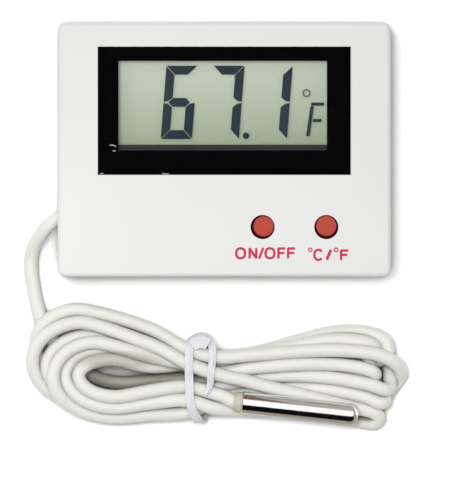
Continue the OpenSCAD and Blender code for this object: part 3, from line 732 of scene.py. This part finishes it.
def ribbon_section(half_w, half_t, core):
    """Outline of the flat ribbon, with the ridge that its wire core raises on both faces."""
    side = np.linspace(-1, 1, 15)
    top = half_t + core * np.exp(-((side / 0.42) ** 2))
    outline = [(x * half_w, h) for x, h in zip(side, top)]
    outline += [(x * half_w, -h) for x, h in zip(side[::-1], top[::-1])]
    return np.array(outline)


def over_cable(path, n, w, cable, clearance):
    """How far each point of the ribbon must move along n to lie on the cable instead of in it."""
    need = np.zeros(len(path))
    reach = CABLE_R + clearance
    for side in (-0.6, 0.0, 0.6):
        o = (path + side * w)[:, None] - cable[None]
        along = (o * n[:, None]).sum(axis=2)
        inside = reach**2 - (o**2).sum(axis=2) + along**2
        t = np.where(inside > 0, -along + np.sqrt(np.clip(inside, 0, None)), 0)
        t = np.where((t > 0) & (t < 3.2), t, 0)
        need = np.maximum(need, t.max(axis=1))
    return need


def ribbon(name, path, w, outward, section, random, width=1.0, wave=0.07):
    """The ribbon's section swept along the path, with small random crimps and tilts."""
    t = tangents(path)
    w = unit(w - (w * t).sum(axis=1, keepdims=True) * t)
    n = np.cross(t, w)
    if (n * outward).sum() < 0:
        n = -n
    knots = np.arange(0, len(path) + 9, 9)
    places = np.arange(len(path))
    crimp = np.interp(places, knots, random.uniform(-wave, wave, len(knots)))
    tilt = np.interp(places, knots, random.uniform(-2.2 * wave, 2.2 * wave, len(knots)))
    w2 = np.cos(tilt)[:, None] * w + np.sin(tilt)[:, None] * n
    n2 = -np.sin(tilt)[:, None] * w + np.cos(tilt)[:, None] * n
    rings = (
        path[:, None]
        + (((1 + crimp) * width)[:, None] * section[None, :, 0])[..., None] * w2[:, None]
        + section[None, :, 1, None] * n2[:, None]
    ) * MM
    if (np.cross(w2, n2) * t).sum() < 0:
        rings = rings[:, ::-1]
    return new_object(name, rings.reshape(-1, 3), skin(len(path), len(section)), LOOKS["tie"])


def tie_path():
    """Centre line of the CAD tie from its free end on, and the direction of its width, in mm."""
    rings = ring_centres("twist_tie", np.array(TIE_END) * MM, 8, spread=True)
    rings = [r for r in rings if len(r) == 8]
    centre = np.array([r.mean(axis=0) for r in rings]) / MM
    wide = []
    for r in rings:
        gap = r[:, None] - r[None]
        i = np.unravel_index(np.argmax(np.linalg.norm(gap, axis=2)), (8, 8))
        wide.append(gap[i])
    wide = unit(np.array(wide))
    for i in range(1, len(wide)):
        if wide[i] @ wide[i - 1] < 0:
            wide[i] = -wide[i]
    fine = softened(curve_through(centre, TIE_STEP), 1.5)
    t = tangents(fine)
    at = np.linspace(0, len(wide) - 1, len(fine))
    w = np.stack([np.interp(at, np.arange(len(wide)), wide[:, k]) for k in range(3)], 1)
    w = softened(w, 3)
    w = unit(w - (w * t).sum(axis=1, keepdims=True) * t)
    n = np.cross(t, w)
    outward = fine - np.array(TIE_CENTRE)
    n *= np.sign((n * outward).sum(axis=1, keepdims=True))
    return fine, w, n, outward


def lifted(path, n, w, cable, clearance):
    """The ribbon's path moved smoothly along n until it lies on the cable."""
    need = over_cable(path, n, w, cable, clearance)
    spread = np.array([need[max(0, i - 3) : i + 4].max() for i in range(len(need))])
    return path + softened(spread[:, None], 2.5) * n


def build_tie(cable):
    """Flat plastic ribbon with a raised wire core down its middle, wrapped tightly round the hank."""
    fine, w, n, outward = tie_path()
    near = cable[np.abs(cable[:, 0] - TIE_CENTRE[0]) < 8]
    for _ in range(3):
        fine = lifted(fine, n, w, near, 0.24)
        fine[:, 2] = np.maximum(fine[:, 2], 0.28)
    fine[:, 1] = np.clip(fine[:, 1], TIE_FRONT, TIE_BACK)
    from_end = np.arange(len(fine)) * TIE_STEP
    width = np.interp(from_end, [0, 0.9, 3.0, 8.5, 11.5], [0.42, 0.66, 0.8, 0.85, 1.0])
    random = np.random.default_rng(3)
    tie = ribbon("twist_tie_ribbon", fine, w, outward, ribbon_section(0.8, 0.1, 0.17), random, width)
    fold_path = np.array([
        [-6.0, -36.5, 9.1], [-5.3, -36.05, 9.0], [-4.5, -35.85, 8.9], [-3.7, -35.9, 8.8], [-3.0, -36.3, 8.8],
    ])
    fold = curve_through(fold_path, 0.25)
    fold_w = np.tile([0.1, 1.0, -0.25], (len(fold), 1))
    up = np.tile([0.0, 0.0, 1.0], (len(fold), 1))
    fold = lifted(fold, up, unit(fold_w), near, 0.2)
    flap = ribbon("twist_tie_fold", fold, fold_w, up, ribbon_section(1.2, 0.07, 0.05), random, wave=0.05)
    for obj in (tie, flap):
        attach(obj, "hank")
    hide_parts("twist_tie")


# ---------------------------------------------------------------- display digits
# the digits' sizes and slant, the baseline, and each digit's left edge, in mm
DIGIT_W, DIGIT_H, STROKE = 5.8, 13.6, 1.62
SLANT = math.tan(math.radians(4.5))
CELL_Y = 2.0
CELL_X = {"6": -11.85, "7": -3.1, "1": 5.85}
SEGMENTS_LIT = {"6": "acdefg", "7": "abc", "1": "bc"}


def segment_outlines():
    """The seven segments of one upright digit, a to g, each as its corners in mm."""
    w, h, t = DIGIT_W, DIGIT_H, STROKE
    g = 0.1
    m, half = h / 2, t / 2
    knee = half * 0.2 + g
    right_up = [(w, h - g), (w, m + g), (w - half, m + knee), (w - t, m + half + g), (w - t, h - t - g)]
    right_down = [(w - t, t + g), (w - t, m - half - g), (w - half, m - knee), (w, m - g), (w, g)]
    return {
        "a": [(g, h), (t + g, h - t), (w - t - g, h - t), (w - g, h)],
        "b": right_up[::-1],
        "c": right_down[::-1],
        "d": [(g, 0), (w - g, 0), (w - t - g, t), (t + g, t)],
        "e": [(0, g), (t, t + g), (t, m - half - g), (half, m - knee), (0, m - g)],
        "f": [(0, m + g), (half, m + knee), (t, m + half + g), (t, h - t - g), (0, h - g)],
        "g": [(half + g, m), (t + g, m - half), (w - t - g, m - half), (w - half - g, m),
              (w - t - g, m + half), (t + g, m + half)],
    }


def anticlockwise(points):
    area = sum(a[0] * b[1] - b[0] * a[1] for a, b in zip(points, points[1:] + points[:1]))
    return points if area > 0 else points[::-1]


def build_digits():
    """The reading as thin films on the rear glass: three digits, a point, a degree ring and an F."""
    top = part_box("lcd_rear_glass")[1].z / MM
    z0, z1 = top + 0.01, top + 0.035
    shapes = segment_outlines()
    parts = []
    for digit, x in CELL_X.items():
        for key in SEGMENTS_LIT[digit]:
            outline = [(x + px + py * SLANT, CELL_Y + py) for px, py in shapes[key]]
            parts.append(plate("segment", anticlockwise(outline), z0, z1, SEGMENT_INK))
    dot = [(4.03 + 0.6 * math.cos(a), 2.6 + 0.6 * math.sin(a))
           for a in np.linspace(0, 2 * math.pi, 24, endpoint=False)]
    parts.append(plate("dot", dot, z0, z1, SEGMENT_INK))
    unit_bars = [
        [(15.22, 2.5), (15.88, 2.5), (16.68, 8.1), (16.05, 8.1)],
        [(16.15, 8.2), (18.5, 8.2), (18.58, 8.75), (16.2, 8.75)],
        [(16.45, 5.15), (18.05, 5.15), (18.13, 5.7), (16.53, 5.7)],
    ]
    for bar in unit_bars:
        parts.append(plate("bar", anticlockwise(bar), z0, z1, SEGMENT_INK))
    digits = joined("display_digits", parts)
    circle = [(15.3 + 0.62 * math.cos(a), 10.53 + 0.62 * math.sin(a))
              for a in np.linspace(0, 2 * math.pi, 28, endpoint=False)]
    ring = flat_stroke("display_degree", circle, 0.28, (z0 + z1) / 2, PALE_INK, True, z1 - z0)
    for obj in (digits, ring):
        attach(obj, "case")


# ---------------------------------------------------------------- button labels
def oval(cx, cy, rx, ry, start=0.0, end=360.0, power=2.0, count=40):
    """An oval, or a stretch of one in degrees. A power above 2 squares it off."""
    closed = end - start >= 360
    angles = np.radians(np.linspace(start, end, count, endpoint=not closed))
    e = 2 / power
    return [
        (cx + rx * math.copysign(abs(math.cos(a)) ** e, math.cos(a)),
         cy + ry * math.copysign(abs(math.sin(a)) ** e, math.sin(a)))
        for a in angles
    ]


def line(*corners, step=0.1):
    """Points every step mm along the straight lines between the corners."""
    out = []
    for a, b in zip(corners, corners[1:]):
        count = max(2, int(math.dist(a, b) / step))
        for i in range(count):
            out.append((a[0] + (b[0] - a[0]) * i / count, a[1] + (b[1] - a[1]) * i / count))
    out.append(corners[-1])
    return out


def letter_f(x, bottom, top, arm):
    middle = (bottom + top) / 2 + 0.05
    upright = line((x, bottom), (x, top))
    upper_arm = line((x, top), (x + arm, top))
    lower_arm = line((x, middle), (x + arm * 0.86, middle))
    return [upright, upper_arm, lower_arm]


def build_labels():
    """The words under the two buttons, printed on the case's face as flat strokes."""
    z = FACE_Z + 0.006
    top, low = -18.42, -20.2
    mid = (top + low) / 2
    open_strokes = [
        line((4.72, low), (4.72, top)), line((4.72, top), (5.95, low)), line((5.95, low), (5.95, top)),
        line((6.5, low - 0.05), (7.22, top + 0.05)),
    ]
    open_strokes += letter_f(10.08, low, top, 1.2)
    open_strokes += letter_f(11.87, low, top, 1.25)
    open_strokes += [oval(17.5, -19.6, 0.74, 0.94, 42, 318, 2.2)]
    open_strokes += letter_f(21.73, -20.5, -18.8, 1.25)
    rounds = [oval(3.04, mid, 0.82, 0.92, power=2.3), oval(8.5, mid, 0.82, 0.92, power=2.3)]
    small = [oval(16.0, -18.66, 0.32, 0.32), oval(20.8, -18.68, 0.34, 0.34)]
    parts = [flat_stroke("ink", s, 0.46, z, LABEL_INK, thick=0.016) for s in open_strokes]
    parts += [flat_stroke("ink", line((19.08, -20.45), (19.8, -18.75)), 0.56, z, LABEL_INK, thick=0.016)]
    parts += [flat_stroke("ink", s, 0.46, z, LABEL_INK, True, 0.016) for s in rounds]
    parts += [flat_stroke("ink", s, 0.24, z, LABEL_INK, True, 0.016) for s in small]
    labels = joined("button_labels", parts)
    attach(labels, "case")


def build_chips():
    """Small scuffs in the black print at the window's lower left."""
    z = (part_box("window_mask")[1].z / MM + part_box("window_lens")[0].z / MM) / 2
    scuffs = [
        ([(-21.3, 0.8), (-20.75, 0.86), (-20.2, 0.55)], 0.18),
        ([(-20.75, -0.2), (-20.5, -0.32), (-20.25, -0.2)], 0.16),
        ([(-11.5, -4.42), (-11.0, -4.58), (-10.4, -4.5)], 0.2),
        ([(-23.1, -4.55), (-22.8, -4.4), (-22.5, -4.5)], 0.16),
    ]
    parts = [flat_stroke("chip", path, width, z, CHIP, thick=0.012) for path, width in scuffs]
    chips = joined("print_chips", parts)
    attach(chips, "case")


# ---------------------------------------------------------------- floor, light, camera
def emitter(name, color, strength):
    """A material that only glows."""
    mat = bpy.data.materials.new(name)
    mat.use_nodes = True
    tree = mat.node_tree
    tree.nodes.remove(tree.nodes["Principled BSDF"])
    glow = tree.nodes.new("ShaderNodeEmission")
    glow.inputs["Color"].default_value = (*color, 1)
    glow.inputs["Strength"].default_value = strength
    tree.links.new(glow.outputs["Emission"], tree.nodes["Material Output"].inputs["Surface"])
    return mat


def card(name, corners, color, strength=1.0):
    """A studio card that only reflections see."""
    obj = new_object(name, corners, [(0, 1, 2, 3)], emitter(name, color, strength), smooth=False)
    obj.visible_camera = False
    obj.visible_diffuse = False
    obj.visible_shadow = False
    obj.visible_transmission = False


def wide_card(name, low, high, color):
    """A card that spans the studio from left to right, between two (y, z) edges."""
    half = 1.2
    corners = [(-half, *low), (half, *low), (half, *high), (-half, *high)]
    card(name, corners, color)


def area_light(name, place, aim, size, power, color):
    """A soft rectangular lamp that the camera doesn't see."""
    data = bpy.data.lights.new(name, "AREA")
    data.shape = "RECTANGLE"
    data.size, data.size_y = size
    data.energy = power
    data.color = color
    lamp = bpy.data.objects.new(name, data)
    SCENE.collection.objects.link(lamp)
    lamp.location = place
    lamp.rotation_mode = "QUATERNION"
    lamp.rotation_quaternion = (Vector(aim) - Vector(place)).to_track_quat("-Z", "Y")
    lamp.visible_camera = False
    return lamp


def build_floor():
    """White paper with painted shadow: it darkens softly where the object touches it or walls it in."""
    floor_mat = Look("floor_paper", (0.95, 0.95, 0.95), 0.9, specular=0.0)
    # painted shadow: the floor darkens next to the object and in the gaps it walls in
    contact_shadow = floor_mat.ramp(floor_mat.openness(3.2), 0.7, 0.4, 0.0, 0.53)
    floor_mat.tint(contact_shadow, (0.03, 0.03, 0.03))
    enclosed_shadow = floor_mat.ramp(floor_mat.openness(9), 0.42, 0.22, 0.0, 0.8)
    floor_mat.tint(enclosed_shadow, (0.1, 0.1, 0.1))
    floor_mat.bump(floor_mat.noise(1.5, 3.0), 0.01)
    floor_mat.rough_from(floor_mat.noise(0.02, 2.0), 0.8, 0.9)
    size = 6.0
    floor = new_object(
        "floor", [(-size, -size, 0), (size, -size, 0), (size, size, 0), (-size, size, 0)],
        [(0, 1, 2, 3)], floor_mat.mat, smooth=False,
    )
    floor.location.z = -0.00005


def build_light():
    world = SCENE.world or bpy.data.worlds.new("world")
    SCENE.world = world
    world.use_nodes = True
    back = world.node_tree.nodes["Background"]
    back.inputs["Color"].default_value = (1.0, 1.0, 1.0, 1)
    back.inputs["Strength"].default_value = 0.36

    aim = (0, -0.015, 0.005)
    overhead = area_light("overhead", (-0.09, 0.05, 1.15), aim, (0.4, 0.4), 14.1, (1.0, 1.0, 0.995))
    overhead.visible_glossy = False
    area_light("key", (-0.6, 0.55, 0.9), aim, (0.5, 0.5), 2.0, (1.0, 0.995, 0.985))


def build_cards():
    """What the polished probe reflects: a white panel above, a dark wall in front with a beige floor
    before it, a grey wall behind, and a brown wedge near its mouth."""
    wide_card("card_top", (-0.432, 0.9), (0.55, 0.9), (1.18, 1.18, 1.18))
    wide_card("card_dark", (-1.05, 0.148), (-0.43, 0.93), (0.004, 0.003, 0.003))
    wide_card("card_low", (-1.05, -0.01), (-1.05, 0.148), (0.24, 0.215, 0.18))
    wide_card("card_floor", (-1.05, 0.0004), (-0.06, 0.0004), (0.36, 0.33, 0.28))
    wide_card("card_near", (-0.06, 0.0005), (-0.0522, 0.0005), (0.47, 0.44, 0.38))
    wide_card("card_grey", (0.55, 0.9), (1.1, 0.0), (0.46, 0.45, 0.42))
    wedge = [(0.002, -0.026, 0.002), (0.019, -0.026, 0.032), (0.019, -0.026, 0.0335), (0.002, -0.026, 0.0335)]
    card("card_brown", wedge, (0.2, 0.135, 0.115))


def build_camera():
    """Straight down from high above, with a long lens that takes in view_h metres."""
    cam_data = bpy.data.cameras.new("camera")
    cam = bpy.data.objects.new("camera", cam_data)
    SCENE.collection.objects.link(cam)
    distance = 2.6
    view_h = 0.0930
    centre = (0.0006, -0.0187)
    cam_data.sensor_width = 36
    cam_data.lens = 36 * distance / view_h
    cam_data.clip_start, cam_data.clip_end = 0.05, 20
    cam.location = (*centre, FACE_Z * MM + distance)
    cam.rotation_euler = (0, 0, 0)
    SCENE.camera = cam


def build_studio():
    build_floor()
    build_light()
    build_cards()
    build_camera()
    SCENE.view_settings.view_transform = "Standard"
    SCENE.cycles.transparent_max_bounces = 32


dress_cad()
centre_line = build_cable()
build_tie(centre_line)
build_digits()
build_labels()
build_chips()
build_studio()

bpy.context.view_layer.update()
